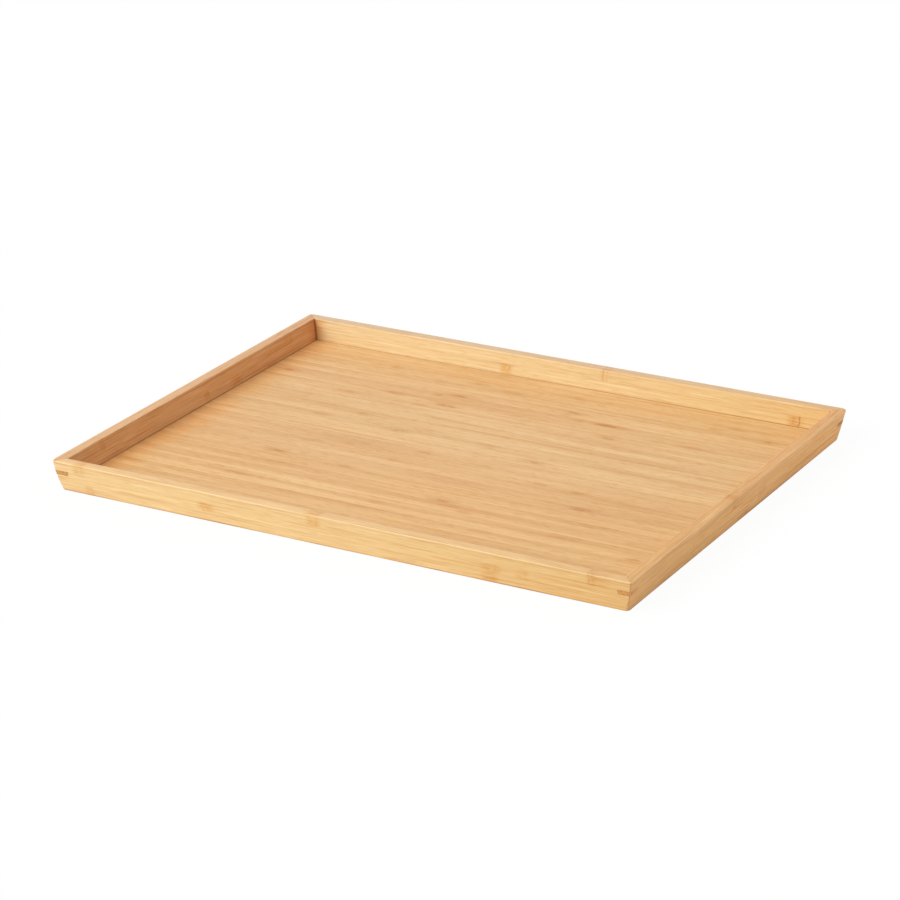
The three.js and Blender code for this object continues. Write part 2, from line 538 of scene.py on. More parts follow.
# The saw slots for all four keys, in one cutter
def keySlots():
    build = bmesh.new()
    spare = cornerKey["slotSpare"]
    for corner, place in cornerPlaces.items():
        rings = []
        farX, farY = keyEnds(corner, -spare, cornerKey["gap"])
        for height in (keyLow.z, keyHigh.z):
            ring = [(-spare, -spare, height), (farX, -spare, height), (-spare, farY, height)]
            rings.append([build.verts.new(place @ Vector(spot)) for spot in ring])
        closeRings(build, *rings)
    bmesh.ops.recalc_face_normals(build, faces=build.faces)
    return newPiece("keySlots", build)


def keyPiece(name, corner, place, material):
    build = bmesh.new()
    rings = []
    steps = 2 * railSection["cornerSteps"]
    radius = railSection["cornerRadius"]
    for height in (keyLow.z + cornerKey["gap"], keyHigh.z - cornerKey["gap"]):
        face = outerFace(height)
        farX, farY = keyEnds(corner, face)
        ring = [(farX, face, height)]
        for step in range(steps + 1):
            angle = math.pi / 2 * step / steps
            x = face + radius * (1 - math.sin(angle))
            y = face + radius * (1 - math.cos(angle))
            ring.append((x, y, height))
        ring.append((face, farY, height))
        rings.append([build.verts.new(place @ Vector(point)) for point in ring])
    closeRings(build, *rings)
    bmesh.ops.recalc_face_normals(build, faces=build.faces)
    piece = newPiece(name, build, material)
    ease = piece.modifiers.new("ease", "BEVEL")
    ease.width = cornerKey["ease"]
    ease.segments = 1
    ease.limit_method = "ANGLE"
    ease.angle_limit = cornerKey["easeAngle"]
    settle(piece)
    smoothEased(piece)
    return piece


# What all rails share, then for each rail: the side that the photograph shows, the tint of that side and of
# the top, the top's further tint at its two ends (these tints are partly the rail's own tone and partly
# painted light and shade on those faces), how the rail drifts towards the right or back end, how deep its
# streaks are, how far its inner corners are painted in shade and its floor seam, a dark joint line partly
# painted shade, shows at either end, and its dark lines as height, half width and depth, the one at height 0
# being painted shade along the foot
railLooks = {
    "body": (0.78, 0.505, 0.232),
    "pale": (0.86, 0.605, 0.31),
    "deep": (0.66, 0.36, 0.13),
    "finish": (0.42, 0.25),  # roughness and gloss
    "grain": {
        "Streak Width": 1.3 * mm,
        "Streak Length": 55 * mm,
        "Fibre Width": 0.8 * mm,
        "Fibre Length": 13 * mm,
        "Fibre Depth": 0.45,
    },
    "plainTint": (0.99, 1.00, 0.98),  # of the sides that the photograph does not show
    "patchTint": (0.90, 0.74, 0.52),
    "line": (0.42, 0.165, 0.04),
    "lineScale": (16.0, 200.0, 200.0),  # of the noise that lets lines come and go
    "lineDepth": (0.3, 1.4),
    "markTail": 26 * mm,
    "insideFrom": 7.2 * mm,  # inwards of the rim's edge, between the outer and the inner faces at any height
    "crownReach": (0.5 * mm, 0.1 * mm),  # below the rim, where the tint of the top comes up
    "mitreLine": 0.45 * mm,
    "mitreDepth": (0.25, 0.55),  # on the long rails and on the end rails
    "mitreOnTop": 0.35,
    # The dark joint line at the inner corners, widened into painted shade
    "innerMitreShadeReach": (2.0 * mm, 0.2 * mm),
    "innerMitreShadeDepth": 0.75,
    # The dark seam line along the floor: partly the joint, partly painted shade in the gap
    "seamShadeReach": (0.7 * mm, 0.1 * mm),
    "shadeReach": (24 * mm, 10 * mm),
    "shadeTint": (0.82, 0.60, 0.40),  # painted shade towards an inner corner
    "paintedRimHighlight": (0.93, 0.72, 0.42),  # painted highlight along the eased outer rim, paler than the top
    "paintedRimHighlightReach": (1.6, 0.7),  # in eases
    "paintedRimHighlightDepth": 0.3,
    "front_rail": {
        "known": "outside",
        "tint": (0.97, 1.03, 1.045),
        "crown": ((1.16, 1.10, 1.12), (1.215, 1.20, 1.31)),
        "drift": (0.875, 0.80, 0.67),
        "streaks": 0.85,
        "shade": (0.0, 0.0),
        "seam": (0.35, 0.35),
        # The line at height 0 is painted shade along the foot, where the rail meets the floor
        "lines": [(0.0, 1.7, 0.85), (7.8, 0.4, 0.18), (15.0, 0.4, 0.18), (22.2, 0.9, 0.20)],
    },
    "right_rail": {
        "known": "outside",
        "tint": (1.00, 0.835, 0.57),
        "crown": ((0.96, 0.984, 1.15), (0.83, 0.82, 0.97)),
        "drift": (1.13, 1.09, 1.04),
        "streaks": 1.35,
        "shade": (0.0, 0.0),
        "seam": (0.35, 0.35),
        # The line at height 0 is painted shade along the foot, where the rail meets the floor
        "lines": [(0.0, 2.5, 0.90), (3.2, 1.2, 0.22), (7.9, 0.5, 0.20), (15.2, 0.4, 0.18), (20.4, 1.0, 0.14)],
    },
    "back_rail": {
        "known": "inside",
        "tint": (1.00, 1.15, 1.315),
        "crown": ((0.96, 0.885, 0.96), (1.05, 0.955, 1.0)),
        "drift": (0.90, 0.825, 0.67),
        "streaks": 0.85,
        "shade": (0.9, 0.0),
        "seam": (0.30, 0.95),
        "lines": [(8.0, 0.4, 0.12), (15.1, 0.45, 0.18), (22.4, 0.7, 0.16)],
    },
    "left_rail": {
        "known": "inside",
        "tint": (1.04, 0.872, 0.825),
        "crown": ((0.97, 1.055, 1.18), (0.905, 1.04, 1.18)),
        "drift": (0.99, 0.897, 0.87),
        "streaks": 1.3,
        "shade": (0.0, 0.4),
        "seam": (0.65, 0.65),
        "lines": [(9.6, 0.7, 0.28), (11.6, 0.5, 0.16), (15.2, 0.3, 0.12), (21.9, 0.9, 0.34)],
    },
}

# Each strip's tone, grain shift and node marks; a mark is a share of the length from the left or front end,
# a half length, how deep its patch and its ridge are, and the side the ridge is on
stripLooks = {
    "front_rail_top_strip": (1.00, 1, [
        (0.050, 5.0, 0.9, 0.20, 1), (0.474, 5.5, 1.0, 0.25, 1),
        (0.935, 3.5, 0.7, 0.30, -1), (0.950, 7.0, 0.5, 0.0, 1),
    ]),
    "front_rail_middle_strip": (1.01, 2, [
        (0.283, 6.5, 1.0, 0.30, -1), (0.773, 6.0, 1.0, 0.25, 1), (0.823, 5.0, 0.7, 0.10, 1),
    ]),
    "front_rail_bottom_strip": (0.99, 3, [(0.065, 4.0, 0.8, 0.15, 1), (0.768, 6.0, 0.8, 0.15, 1)]),
    "right_rail_top_strip": (1.00, 4, [(0.456, 4.5, 1.0, 0.20, 1)]),
    "right_rail_middle_strip": (1.01, 5, [(0.592, 6.0, 0.7, 0.10, 1)]),
    "right_rail_bottom_strip": (0.97, 6, [(0.515, 9.0, 0.9, 0.20, 1)]),
    "back_rail_top_strip": (1.00, 7, [(0.582, 4.5, 0.6, 0.40, -1)]),
    "back_rail_middle_strip": (1.00, 8, [(0.398, 5.5, 1.0, 0.35, 1), (0.923, 6.0, 1.0, 0.95, 1)]),
    "back_rail_bottom_strip": (1.02, 9, [(0.398, 4.5, 0.8, 0.30, 1), (0.923, 5.0, 0.8, 0.70, 1)]),
    "left_rail_top_strip": (0.99, 10, [(0.141, 3.5, 0.45, 0.35, 1), (0.860, 6.0, 0.6, 0.20, 1)]),
    "left_rail_middle_strip": (1.00, 11, [(0.524, 4.0, 0.7, 0.60, 1), (0.638, 7.0, 0.8, 0.30, 1)]),
    "left_rail_bottom_strip": (0.98, 12, [(0.524, 4.0, 0.6, 0.60, 1)]),
}

# Each rail's length, place, whether it runs across the tray, and the corners at its two ends
rails = {
    "front_rail": (2 * halfLength, placed(0, -halfWidth, 0), False, ("front_left", "front_right")),
    "right_rail": (2 * halfWidth, placed(halfLength, 0, math.pi / 2), True, ("front_right", "back_right")),
    "back_rail": (2 * halfLength, placed(0, halfWidth, math.pi), False, ("back_right", "back_left")),
    "left_rail": (2 * halfWidth, placed(-halfLength, 0, -math.pi / 2), True, ("back_left", "front_left")),
}

stripHeights = {
    "bottom_strip": (0, bottomGluePlane),
    "middle_strip": (bottomGluePlane, topGluePlane),
    "top_strip": (topGluePlane, trayHeight),
}


def turnedGrain(point, turn):
    return addNode("ShaderNodeMapping", {"Vector": point, "Rotation": (0, 0, turn)}).outputs[0]


def railMaterial(railName, stripName, length, across):
    look = railLooks[railName]
    tone, shift, marks = stripLooks[stripName]
    material, point = startMaterial(stripName + "_bamboo")
    grain = turnedGrain(point, -math.pi / 2 if across else 0)
    colour, relief = layGrain(railLooks, grain, shift, tone, **{"Streak Depth": look["streaks"]})
    # Where a point lies: along the rail, inwards from the rim's edge, on the inner face, on the top
    along, sideways, height = parts(grain)
    lengthShare = addNode("ShaderNodeMapRange", {0: along, 1: -length / 2, 2: length / 2}).outputs[0]
    farShare = product(lengthShare, lengthShare)
    side = 1.0 if railName in ("front_rail", "right_rail") else -1.0
    inwards = calc("MULTIPLY_ADD", sideways, side, halfLength if across else halfWidth)
    inside = calc("GREATER_THAN", inwards, railLooks["insideFrom"])
    crown = remap(height, *(trayHeight - reach for reach in railLooks["crownReach"]))
    innerWall = product(inside, inverse(crown))

    def endToEnd(near, far):
        return calc("MULTIPLY_ADD", farShare, far - near, near)

    # The shown side and the top take tints that are partly the rail's own tone, partly painted light and
    # shade on those faces
    shown = inside if look["known"] == "inside" else inverse(inside)
    known = calc("MAXIMUM", crown, shown)
    faceTint = mixColour(known, railLooks["plainTint"], look["tint"])
    colour = mixColour(1.0, colour, faceTint, "MULTIPLY")
    colour = tinted(farShare, colour, look["drift"])
    colour = tinted(crown, colour, mixColour(farShare, *look["crown"]))
    for share, half, patchDepth, ridgeDepth, ridgeSide in marks:
        patch, ridge = placeGroup(nodePatch, {
            "Vector": grain,
            "Centre": (share - 0.5) * length,
            "Half Length": half * mm,
            "Patch Depth": patchDepth,
            "Ridge Depth": ridgeDepth,
            "Ridge Side": ridgeSide,
            "Tail": railLooks["markTail"],
        })
        colour = tinted(patch, colour, railLooks["patchTint"])
        colour = mixColour(ridge, colour, railLooks["line"])
    # Dark lines along the rail come and go; the mitre and the floor's seam are steady
    wander = remap(noise(grain, railLooks["lineScale"], 1.0), 0.3, 0.7, *railLooks["lineDepth"])
    # A line at height 0 is painted shade along the foot
    for level, half, depth in look["lines"]:
        line = remap(awayFrom(height, level * mm), half * mm, 0.0, 0.0, depth)
        colour = mixColour(product(line, wander), colour, railLooks["line"])
    fromEnd = within(length / 2, along)
    pastMitre = calc("SUBTRACT", fromEnd, inwards)
    fromLine = awayFrom(pastMitre, railLooks["mitreLine"] if across else 0.0)
    mitre = remap(fromLine, railLooks["mitreLine"], 0.0, 0.0, railLooks["mitreDepth"][across])
    mitre = product(mitre, remap(crown, 0.0, 1.0, 1.0, railLooks["mitreOnTop"]))
    # The inner mitre: a dark joint line, with painted shade spreading from the inner corner
    innerMitreAndShade = calc("ABSOLUTE", pastMitre)
    innerMitreAndShade = remap(innerMitreAndShade, *railLooks["innerMitreShadeReach"], 0.0, railLooks["innerMitreShadeDepth"])
    mitre = calc("MAXIMUM", mitre, product(innerMitreAndShade, innerWall))
    # The floor's seam on the inner walls: a dark joint line, partly painted shade in the gap
    seam = remap(calc("SUBTRACT", height, floorHigh.z), *railLooks["seamShadeReach"])
    seam = product(seam, endToEnd(*look["seam"]), inside)
    colour = mixColour(calc("MAXIMUM", mitre, seam), colour, railLooks["line"])
    # Painted shade on the inner walls towards the inner corners
    shaded = remap(fromEnd, *railLooks["shadeReach"])
    shaded = product(shaded, endToEnd(*look["shade"]), innerWall)
    colour = tinted(shaded, colour, railLooks["shadeTint"])
    # Painted highlight: the rim's eased outer edge is painted paler
    fromRimEdge = calc("ADD", calc("SUBTRACT", trayHeight, height), inwards)
    paintedRimHighlightReach = [share * railSection["rimOuterEase"] for share in railLooks["paintedRimHighlightReach"]]
    paintedRimHighlight = remap(fromRimEdge, *paintedRimHighlightReach, 0.0, railLooks["paintedRimHighlightDepth"])
    colour = mixColour(paintedRimHighlight, colour, railLooks["paintedRimHighlight"])
    finishMaterial(colour, relief, railLooks["finish"])
    return material


slotCutter = keySlots()
for railName, (length, place, across, corners) in rails.items():
    for stripName, (low, high) in stripHeights.items():
        name = f"{railName}_{stripName}"
        material = railMaterial(railName, name, length, across)
        piece = railStrip(f"{name}_bamboo", stripSection(low, high), length, place, corners, material)
        if high > keyLow.z and low < keyHigh.z:
            slots = piece.modifiers.new("keySlots", "BOOLEAN")
            slots.object = slotCutter
            slots.operation = "DIFFERENCE"
            slots.solver = "EXACT"
            settle(piece)
        smoothEased(piece)
        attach(piece, "root")
        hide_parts(name)
bpy.data.objects.remove(slotCutter)
print("rails built")


# Keys: the grain runs across the corner
def keyMaterial(name, turn, shift, endFaceLight):
    material, point = startMaterial(name)
    colour, relief = layGrain(cornerKey, turnedGrain(point, turn), shift)
    x, y, height = parts(point)
    halfHeight = (keyHigh.z - keyLow.z) / 2
    edgeStart = halfHeight - cornerKey["edgeReach"]
    edge = remap(awayFrom(height, keyMiddle), edgeStart, halfHeight, 0.0, cornerKey["edgeDepth"])
    colour = mixColour(edge, colour, cornerKey["edge"])
    # Painted light: a key is painted paler on the end rail's face, against the shade there
    onEnd = calc("LESS_THAN", within(halfLength, x), within(halfWidth, y))
    colour = tinted(onEnd, colour, (endFaceLight, endFaceLight, endFaceLight))
    finishMaterial(colour, relief, cornerKey["finish"])
    return material


# Each key's turn and shift of the grain, and how much paler it is painted on the end rail's face, as painted
# light against the shade there
keyGrain = {
    "front_left": (math.pi / 4, 21, 1.0),
    "front_right": (-math.pi / 4, 22, 1.28),
    "back_right": (math.pi / 4, 23, 1.0),
    "back_left": (-math.pi / 4, 24, 1.0),
}
for corner, place in cornerPlaces.items():
    name = f"corner_key_{corner}"
    piece = keyPiece(f"{name}_bamboo", corner, place, keyMaterial(f"{name}_bamboo", *keyGrain[corner]))
    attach(piece, "root")
    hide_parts(name)
print("corner keys built")


# Floor: narrow strips glued edge to edge, then trimmed to a tongue and leaning shoulders
floor = {
    "count": 54,  # two for each CAD stave
    "joint": 0.05 * mm,
    "tongueTop": 5.0 * mm,
    "shoulderFoot": 1.0 * mm,  # where the leaning body starts, above the floor's underside
    "seam": 0.3 * mm,  # between the shoulder and the rail
    "blankLength": 1.1,  # of a strip before it is trimmed, in tongue lengths
    "blankHeight": 3.0,  # and in floor heights
    "seed": 7,
    "body": (0.777, 0.467, 0.205),
    "pale": (0.88, 0.555, 0.25),
    "deep": (0.675, 0.325, 0.095),
    "finish": (0.42, 0.25),  # roughness and gloss
    "shiftRange": 40.0,
    "grain": {
        "Streak Depth": 0.65,
        "Streak Width": 2.2 * mm,
        "Streak Length": 125 * mm,
        "Fibre Width": 1.5 * mm,
        "Fibre Length": 9 * mm,
        "Fibre Depth": 0.5,
    },
    # Lines on the edges of some strips: colour, draw, reach across the strip, and most depth
    "edges": [("pale", 7.3, (0.4, 0.1), 0.42), ("deep", 13.7, (0.6, 0.95), 0.32)],
    "edgeLeast": 0.05,
    "paleRegion": (1.005, 1.01, 1.025),
    "warmRegion": (0.995, 0.985, 0.965),
    "regionScale": (5.0, 14.0, 14.0),
    "paleBand": (1.01, 1.06, 1.115),  # paler and bluer along a band behind the middle
    "paleBandPlace": 46 * mm,
    "paleBandReach": (58 * mm, 10 * mm),
    # Bands that come up from one place to another, in mm, along or across the floor
    "warmBand": (-30, -80, (0.995, 0.965, 0.91)),
    "rightEnd": (20, 220, (0.955, 0.955, 0.91)),
    "backStrips": (149.3, 164.3, (1.02, 1.11, 1.22)),
    "frontStrips": (-84, -118, (1.05, 1.09, 1.11)),
    "paintedRailBounce": (16, -6, (1.08, 0.985, 0.89)),  # painted warm bounce light from the left rail, on the floor in its shade
    "paintedRailBounceScale": (45.0, 45.0, 45.0),
    "paintedRailBounceWaver": 30 * mm,
    "paleStrip": (1.06, 1.11, 1.17),
    "warmStrip": (0.93, 0.87, 0.80),
    "toneWeight": 0.28,  # how much of a strip's tone is its own, beside what drifts along it
    "toneDrift": (7.0, 300.0),  # along the strip, and from strip to strip
    "lineScale": (5.0, 60.0, 1.0),
    "lineDepth": (0.35, 1.25),
    "mark": (0.56, 0.205, 0.03),
    # The dark seam line round the floor: partly the joint, partly painted shade in the gap
    "seamShadeLine": (0.43, 0.14, 0.03),
    "seamShadeReach": 0.8 * mm,
    "seamShadeDepth": 0.6,
    "nodeSpacing": 300 * mm,
    "markHalfLength": (6 * mm, 14 * mm),
    "markHalfWidth": 4.4 * mm,
    "markDepth": (0.12, 0.3),
    "markShare": 0.5,  # how many of the nodes show
    "markWave": 3.0 * mm,
    "markWaveScale": (260.0, 260.0, 260.0),
    "waverScale": (150.0, 420.0, 1.0),
    # Lines along the whole floor: place from front to back, half width, and depth, pale ones positive
    "lines": [
        (152, 2.0, 0.50), (146, 2.0, -0.35), (131, 2.5, -0.30), (122, 2.2, 0.50), (107, 2.2, -0.22),
        (92, 2.2, -0.20), (80, 2.0, 0.30), (74, 2.0, 0.45), (56, 2.0, 0.45), (49, 2.4, -0.32),
        (38, 2.0, 0.28), (19, 2.2, 0.50), (-24, 2.6, -0.60), (-30, 1.8, 0.30), (-54, 2.0, 0.35),
        (-86, 3.0, -0.10), (-94, 2.4, 0.55), (-102, 2.6, -0.32), (-108, 2.4, 0.35),
    ],
    # Marks that stand out: place along and across, half length, and depth
    "marks": [
        (50, 105, 11, 0.49), (74, 105, 16, 1.22), (-210, 99, 10, 0.83), (-59, 109, 14, 0.83),
        (133, -49, 14, 0.98), (-125, -52, 12, 0.83), (155, 93, 18, 0.51), (134, 49, 34, 0.41),
        (-22, 133, 12, 0.61), (-141, 78, 9, 0.73), (-57, 86, 17, 0.81), (-23, -6, 11, 0.56),
        (37, -80, 14, 0.76), (200, 129, 11, 0.78), (87, 82, 9, 0.68), (-106, 92, 12, 0.66),
        (60, 15, 14, 0.74), (26, 146, 16, 0.37), (-62, -56, 11, 0.56), (-65, 24, 14, 0.66),
        (-57, 139, 9, 0.49), (-129, -103, 20, 0.61), (146, -100, 20, 0.52), (114, -23, 15, 0.51),
        (-136, 28, 12, 0.45), (39, 117, 11, 0.68), (168, -71, 17, 0.32), (-116, -71, 18, 0.23),
        (84, -21, 13, 0.55), (-106, 42, 8, 0.52), (207, -111, 10, 0.78),
    ],
}
stripPitch = 2 * floorHigh.y / floor["count"]


def shoulderSize(height):
    shoulder = innerFace(height) + floor["seam"]
    return (2 * (halfLength - shoulder), 2 * (halfWidth - shoulder), height)


# One mark on the floor: a dark broken core in a soft halo, drawn out along the grain
floorMarkForm = {
    "waver": 3.5 * mm,
    # How much longer and wider each is than the mark, its fade from edge to middle, and its depth
    "core": (0.8, 0.62, (1.2, 0.3), 1.0),
    "halo": (1.4, 1.1, (1.2, 0.1), 0.45),
    "tail": (3.2, 0.5, (1.0, 0.1), 0.3),
}


def makeFloorMark():
    tree, given, result = newGroup("floorMark", "ShaderNodeTree", {
        "Vector": "Vector",
        "Waver": "Float",
        "Centre": "Vector",
        "Half Length": "Float",
        "Half Width": "Float",
        "Depth": "Float",
    }, {"Mask": "Float"})
    along, across = parts(vectorCalc("SUBTRACT", given["Vector"], given["Centre"]))[:2]
    waver = calc("SUBTRACT", given["Waver"], 0.5)
    across = calc("MULTIPLY_ADD", waver, floorMarkForm["waver"], across)
    u = calc("DIVIDE", along, given["Half Length"])
    v = calc("DIVIDE", across, given["Half Width"])

    def oval(kind):
        longer, wider, (edge, middle), depth = floorMarkForm[kind]
        reach = ovalReach(calc("DIVIDE", u, longer), calc("DIVIDE", v, wider))
        return remap(reach, edge, middle, 0.0, depth)

    broken = remap(given["Waver"], 0.35, 0.6, 0.45, 1.0)
    mask = calc("MAXIMUM", product(oval("core"), broken), oval("halo"))
    mask = calc("MAXIMUM", mask, oval("tail"))
    feed(result["Mask"], product(mask, given["Depth"]))
    return tree


floorMark = makeFloorMark()


# Nodes on some strips, by chance: a soft reddish eye, with a tail along the grain
def chanceMarks(point, along, shift, fromEdge):
    spacing = floor["nodeSpacing"]
    internode = calc("ADD", calc("DIVIDE", along, spacing), product(shift, 17.0))
    cell = xyz(calc("FLOOR", internode), product(shift, 91.0), 0.0)
    chance = addNode("ShaderNodeTexWhiteNoise", {"Vector": cell}, noise_dimensions="3D").outputs
    size, place, depth = parts(chance["Color"])
    fromNode = product(calc("SUBTRACT", calc("FRACT", internode), 0.5), spacing)
    shortest, longest = floor["markHalfLength"]
    markHalf = calc("MULTIPLY_ADD", size, longest - shortest, shortest)
    centre = calc("MULTIPLY_ADD", place, 0.3, 0.35)
    sideways = product(calc("SUBTRACT", fromEdge, centre), stripPitch)
    wave = calc("SUBTRACT", noise(point, floor["markWaveScale"], 2.0), 0.5)
    sideways = calc("MULTIPLY_ADD", wave, floor["markWave"], sideways)

    def eye(longer, thinner):
        u = calc("DIVIDE", fromNode, product(markHalf, longer))
        v = calc("DIVIDE", sideways, floor["markHalfWidth"] * thinner)
        return ovalReach(u, v)

    core = remap(eye(1.0, 1.0), 1.15, 0.25)
    tail = remap(eye(4.0, 0.6), 1.0, 0.1, 0.0, 0.35)
    shown = calc("LESS_THAN", depth, floor["markShare"])
    faintest, strongest = floor["markDepth"]
    strength = remap(depth, 0.0, floor["markShare"], strongest, faintest)
    return product(calc("MAXIMUM", core, tail), strength, shown)


def floorMaterial():
    material, point = startMaterial("floor_strips_bamboo")
    tone = addNode("ShaderNodeAttribute", attribute_name="stripTone").outputs["Fac"]
    shift = addNode("ShaderNodeAttribute", attribute_name="stripShift").outputs["Fac"]
    along, across = parts(point)[:2]
    reachX, reachY = shoulderSize(floorHigh.z)[:2]
    colour, relief = layGrain(floor, point, product(shift, floor["shiftRange"]))

    def banded(colour, place, band):
        start, end, tint = floor[band]
        return tinted(remap(place, start * mm, end * mm), colour, tint)

    # Some strips show a pale line on one edge and a dark one on the other
    fromEdge = calc("FRACT", calc("DIVIDE", calc("ADD", across, floorHigh.y), stripPitch))
    for name, draw, reach, most in floor["edges"]:
        chance = remap(calc("FRACT", product(shift, draw)), 0.5, 1.0, floor["edgeLeast"], most)
        colour = mixColour(product(remap(fromEdge, *reach), chance), colour, floor[name])
    # Broad regions, paler or warmer, and a tone that drifts along each strip
    region = remap(noise(point, floor["regionScale"], 2.0), 0.35, 0.65)
    regionTint = mixColour(region, floor["paleRegion"], floor["warmRegion"])
    colour = mixColour(1.0, colour, regionTint, "MULTIPLY")
    paleBand = remap(awayFrom(across, floor["paleBandPlace"]), *floor["paleBandReach"])
    colour = tinted(paleBand, colour, floor["paleBand"])
    colour = banded(colour, across, "warmBand")
    alongScale, stripScale = floor["toneDrift"]
    driftPlace = xyz(product(along, alongScale), product(shift, stripScale), 0.0)
    drift = product(noise(driftPlace, (1.0, 1.0, 1.0), 1.0), 2.0)
    ownTone = calc("MULTIPLY_ADD", tone, floor["toneWeight"], -0.5)
    paleShare = calc("ADD", ownTone, drift, clamp=True)
    stripTint = mixColour(paleShare, floor["warmStrip"], floor["paleStrip"])
    colour = mixColour(1.0, colour, stripTint, "MULTIPLY")
    # Lines that run the length of the floor, coming and going
    wander = remap(noise(point, floor["lineScale"], 1.0), 0.3, 0.7, *floor["lineDepth"])
    for y, half, depth in floor["lines"]:
        line = remap(awayFrom(across, y * mm), half * mm, 0.0, 0.0, abs(depth))
        lineColour = floor["pale" if depth > 0 else "deep"]
        colour = mixColour(product(line, wander), colour, lineColour)
    mark = chanceMarks(point, along, shift, fromEdge)
    waver = noise(point, floor["waverScale"], 2.0)
    for x, y, half, depth in floor["marks"]:
        mask = placeGroup(floorMark, {
            "Vector": point,
            "Waver": waver,
            "Centre": (x * mm, y * mm, 0),
            "Half Length": half * mm,
            "Half Width": floor["markHalfWidth"],
            "Depth": depth,
        })[0]
        mark = calc("MAXIMUM", mark, mask)
    colour = mixColour(mark, colour, floor["mark"])
    # The ends and edges of the floor, with painted warm bounce light from the left rail, and the seam round
    # it
    uneven = noise(point, floor["paintedRailBounceScale"], 2.0)
    fromLeft = calc("ADD", along, reachX / 2)
    fromLeft = calc("MULTIPLY_ADD", uneven, -floor["paintedRailBounceWaver"], fromLeft)
    bands = ((fromLeft, "paintedRailBounce"), (along, "rightEnd"), (across, "backStrips"), (across, "frontStrips"))
    for place, band in bands:
        colour = banded(colour, place, band)
    # The seam round the floor: a dark joint line, partly painted shade in the gap
    fromSeam = calc("MINIMUM", within(reachX / 2, along), within(reachY / 2, across))
    seam = remap(fromSeam, floor["seamShadeReach"], 0.0, 0.0, floor["seamShadeDepth"])
    colour = mixColour(seam, colour, floor["seamShadeLine"])
    finishMaterial(colour, relief, floor["finish"])
    return material


def shape(kind, feeds=None, **settings):
    return addNode("GeometryNode" + kind, feeds, **settings).outputs[0]


def meshBoolean(operation, *meshes):
    node = addNode("GeometryNodeMeshBoolean", operation=operation, solver="EXACT")
    for mesh in meshes:
        feed(node.inputs["Mesh 2"], mesh)
    return node.outputs[0]


def makeFloorTree():
    tree, given, result = newGroup("floorStrips", "GeometryNodeTree", {
        "Count": "Int",
        "Pitch": "Float",
        "Joint": "Float",
        "Tongue Size": "Vector",
        "Tongue Low": "Float",
        "Shoulder Low": "Vector",
        "Shoulder High": "Vector",
        "Seed": "Int",
        "Material": "Material",
    }, {"Geometry": "Geometry"})
    tree.is_modifier = True
    tongueLength, tongueWidth, tongueThickness = parts(given["Tongue Size"])
    lowLength, lowWidth, lowHeight = parts(given["Shoulder Low"])
    highLength, highWidth, highHeight = parts(given["Shoulder High"])
    # Blanks side by side, longer and thicker than the floor
    firstCentre = product(calc("SUBTRACT", given["Pitch"], tongueWidth), 0.5)
    line = shape("MeshLine", {
        "Count": given["Count"],
        "Start Location": xyz(0.0, firstCentre, highHeight),
        "Offset": xyz(0.0, given["Pitch"], 0.0),
    })
    blankLength = product(tongueLength, floor["blankLength"])
    blankWidth = calc("SUBTRACT", given["Pitch"], given["Joint"])
    blankHeight = product(highHeight, floor["blankHeight"])
    blank = shape("MeshCube", {"Size": xyz(blankLength, blankWidth, blankHeight)})
    laid = shape("InstanceOnPoints", {"Points": line, "Instance": blank})
    strips = shape("RealizeInstances", {"Geometry": laid})
    # What the panel is trimmed to: a tongue all round, and a body that leans with the rails
    tongueMiddle = calc("MULTIPLY_ADD", tongueThickness, 0.5, given["Tongue Low"])
    tongue = shape("MeshCube", {"Size": given["Tongue Size"]})
    tongue = shape("Transform", {"Geometry": tongue, "Translation": xyz(0.0, 0.0, tongueMiddle)})
    unit = shape("MeshCube", {"Size": (1.0, 1.0, 1.0)})
    x, y, z = parts(shape("InputPosition"))
    isHigh = calc("GREATER_THAN", z, 0.0)
    leaning = xyz(
        product(x, mixValue(isHigh, lowLength, highLength)),
        product(y, mixValue(isHigh, lowWidth, highWidth)),
        mixValue(isHigh, lowHeight, highHeight),
    )
    body = shape("SetPosition", {"Geometry": unit, "Position": leaning})
    geometry = meshBoolean("INTERSECT", strips, meshBoolean("UNION", tongue, body))
    # Each strip keeps a tone and a grain shift of its own
    middle = parts(shape("InputPosition"))[1]
    fromFront = calc("MULTIPLY_ADD", tongueWidth, 0.5, middle)
    stripIndex = calc("FLOOR", calc("DIVIDE", fromFront, given["Pitch"]))
    for name, low, seedStep in (("stripTone", -1.0, 0.0), ("stripShift", 0.0, 1.0)):
        seed = calc("ADD", given["Seed"], seedStep)
        drawn = {2: low, "ID": stripIndex, "Seed": seed}
        chance = addNode("FunctionNodeRandomValue", drawn, data_type="FLOAT")
        stored = {"Geometry": geometry, "Name": name, "Value": chance.outputs[1]}
        geometry = shape("StoreNamedAttribute", stored, data_type="FLOAT", domain="FACE")
    plain = shape("RealizeInstances", {"Geometry": geometry})
    dressed = shape("SetMaterial", {"Geometry": plain, "Material": given["Material"]})
    feed(result["Geometry"], dressed)
    return tree


floorTree = makeFloorTree()
floorMesh = bpy.data.meshes.new("floor_strips_bamboo")
floorPiece = bpy.data.objects.new("floor_strips_bamboo", floorMesh)
bpy.context.scene.collection.objects.link(floorPiece)
floorInputs = {
    "Count": floor["count"],
    "Pitch": stripPitch,
    "Joint": floor["joint"],
    "Tongue Size": (2 * floorHigh.x, 2 * floorHigh.y, floor["tongueTop"] - floorLow.z),
    "Tongue Low": floorLow.z,
    "Shoulder Low": shoulderSize(floorLow.z + floor["shoulderFoot"]),
    "Shoulder High": shoulderSize(floorHigh.z),
    "Seed": floor["seed"],
    "Material": floorMaterial(),
}
floorLaying = floorPiece.modifiers.new("floorStrips", "NODES")
floorLaying.node_group = floorTree
for item in floorTree.interface.items_tree:
    if item.in_out == "INPUT":
        floorLaying[item.identifier] = floorInputs[item.name]
settle(floorPiece)
floorPiece.data.shade_flat()
